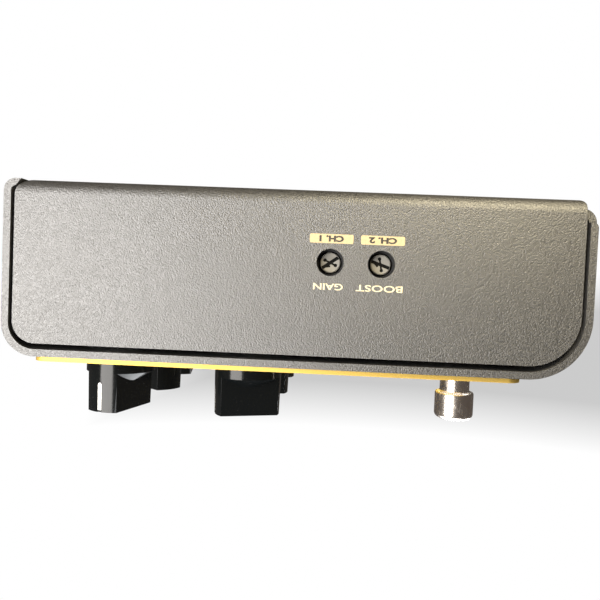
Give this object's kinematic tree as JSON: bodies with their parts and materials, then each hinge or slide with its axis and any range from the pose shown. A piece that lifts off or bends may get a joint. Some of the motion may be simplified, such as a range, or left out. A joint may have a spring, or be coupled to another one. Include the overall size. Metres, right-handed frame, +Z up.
{
  "type": "guitar preamp pedal",
  "caption": "Two-channel guitar preamp floor pedal: folded steel case, gold faceplate, pointer knobs, soft-touch footswitches, side trimmers and rear jacks.",
  "frame": {"origin": "centre of the base pan's flat underside", "axes": "+Z up through the knobs, -Y towards the player's foot (footswitch side), +Y to the jacks, +X to the side panel with the trimmers"},
  "size_m": [0.128, 0.123, 0.0524],
  "materials": {
    "powder_coat": "fine-textured powder coat, semi-gloss, dark charcoal",
    "gold_plate": "gold-anodised sheet, brushed, semi-gloss",
    "knob_black": "gloss black moulding with a white pointer line",
    "nickel": "polished nickel plate",
    "steel": "zinc-plated steel",
    "black_plastic": "black moulded plastic",
    "trimmer_grey": "warm grey moulded plastic",
    "led_lens": "water-clear epoxy lens",
    "nylon": "natural nylon",
    "circuit_board": "green solder-masked glass-fibre laminate"
  },
  "bodies": {
    "root": {"top_shell": "powder_coat", "base_pan": "powder_coat", "faceplate": "gold_plate", "control_board": "circuit_board", "switch_board": "circuit_board", "main_board": "circuit_board", "dc_jack": "black_plastic", "pot_body_rear_1": "steel", "pot_body_rear_2": "steel", "pot_body_rear_3": "steel", "pot_body_rear_4": "steel", "pot_body_front_1": "steel", "pot_body_front_2": "steel", "pot_body_front_3": "steel", "pot_body_front_4": "steel", "footswitch_body_left": "nickel", "footswitch_nut_left": "nickel", "led_left": "led_lens", "led_spacer_left": "black_plastic", "jack_left": "black_plastic", "jack_nut_left": "steel", "rear_bracket_left": "steel", "base_screw_front_left": "steel", "base_screw_rear_left": "steel", "board_spacer_front_left": "nylon", "board_spacer_rear_left": "nylon", "footswitch_body_right": "nickel", "footswitch_nut_right": "nickel", "led_right": "led_lens", "led_spacer_right": "black_plastic", "jack_right": "black_plastic", "jack_nut_right": "steel", "rear_bracket_right": "steel", "base_screw_front_right": "steel", "base_screw_rear_right": "steel", "board_spacer_front_right": "nylon", "board_spacer_rear_right": "nylon", "gain_trimmer_body": "black_plastic", "boost_trimmer_body": "black_plastic"},
    "knob_rear_1": {"knob_rear_1": "knob_black", "pot_shaft_rear_1": "steel"},
    "knob_rear_2": {"knob_rear_2": "knob_black", "pot_shaft_rear_2": "steel"},
    "knob_rear_3": {"knob_rear_3": "knob_black", "pot_shaft_rear_3": "steel"},
    "knob_rear_4": {"knob_rear_4": "knob_black", "pot_shaft_rear_4": "steel"},
    "knob_front_1": {"knob_front_1": "knob_black", "pot_shaft_front_1": "steel"},
    "knob_front_2": {"knob_front_2": "knob_black", "pot_shaft_front_2": "steel"},
    "knob_front_3": {"knob_front_3": "knob_black", "pot_shaft_front_3": "steel"},
    "knob_front_4": {"knob_front_4": "knob_black", "pot_shaft_front_4": "steel"},
    "foot_button_left": {"foot_button_left": "nickel"},
    "foot_button_right": {"foot_button_right": "nickel"},
    "gain_trimmer": {"gain_trimmer_rotor": "trimmer_grey"},
    "boost_trimmer": {"boost_trimmer_rotor": "trimmer_grey"}
  },
  "joints": [
    {"name": "turn_rear_1", "type": "hinge", "parent": "root", "child": "knob_rear_1", "pos_m": [-0.042, 0.0425, 0.0385], "axis": [0, 0, 1], "range_deg": [-120, 180]},
    {"name": "turn_rear_2", "type": "hinge", "parent": "root", "child": "knob_rear_2", "pos_m": [-0.014, 0.0425, 0.0385], "axis": [0, 0, 1], "range_deg": [-230, 70]},
    {"name": "turn_rear_3", "type": "hinge", "parent": "root", "child": "knob_rear_3", "pos_m": [0.014, 0.0425, 0.0385], "axis": [0, 0, 1], "range_deg": [-190, 110]},
    {"name": "turn_rear_4", "type": "hinge", "parent": "root", "child": "knob_rear_4", "pos_m": [0.042, 0.0425, 0.0385], "axis": [0, 0, 1], "range_deg": [-77, 223]},
    {"name": "turn_front_1", "type": "hinge", "parent": "root", "child": "knob_front_1", "pos_m": [-0.042, 0.0115, 0.0385], "axis": [0, 0, 1], "range_deg": [-170, 130]},
    {"name": "turn_front_2", "type": "hinge", "parent": "root", "child": "knob_front_2", "pos_m": [-0.014, 0.0115, 0.0385], "axis": [0, 0, 1], "range_deg": [-145, 155]},
    {"name": "turn_front_3", "type": "hinge", "parent": "root", "child": "knob_front_3", "pos_m": [0.014, 0.0115, 0.0385], "axis": [0, 0, 1], "range_deg": [-145, 155]},
    {"name": "turn_front_4", "type": "hinge", "parent": "root", "child": "knob_front_4", "pos_m": [0.042, 0.0115, 0.0385], "axis": [0, 0, 1], "range_deg": [-133, 167]},
    {"name": "press_left", "type": "slide", "parent": "root", "child": "foot_button_left", "axis": [0, 0, -1], "range_m": [0, 0.002], "stiffness_N_per_m": 1500, "springref_m": -0.0007},
    {"name": "press_right", "type": "slide", "parent": "root", "child": "foot_button_right", "axis": [0, 0, -1], "range_m": [0, 0.002], "stiffness_N_per_m": 1500, "springref_m": -0.0007},
    {"name": "gain_adjust", "type": "hinge", "parent": "root", "child": "gain_trimmer", "pos_m": [0.0617, -0.0072, 0.0147], "axis": [1, 0, 0], "range_deg": [-165, 95]},
    {"name": "boost_adjust", "type": "hinge", "parent": "root", "child": "boost_trimmer", "pos_m": [0.0617, -0.0175, 0.0147], "axis": [1, 0, 0], "range_deg": [-111, 149]}
  ]
}
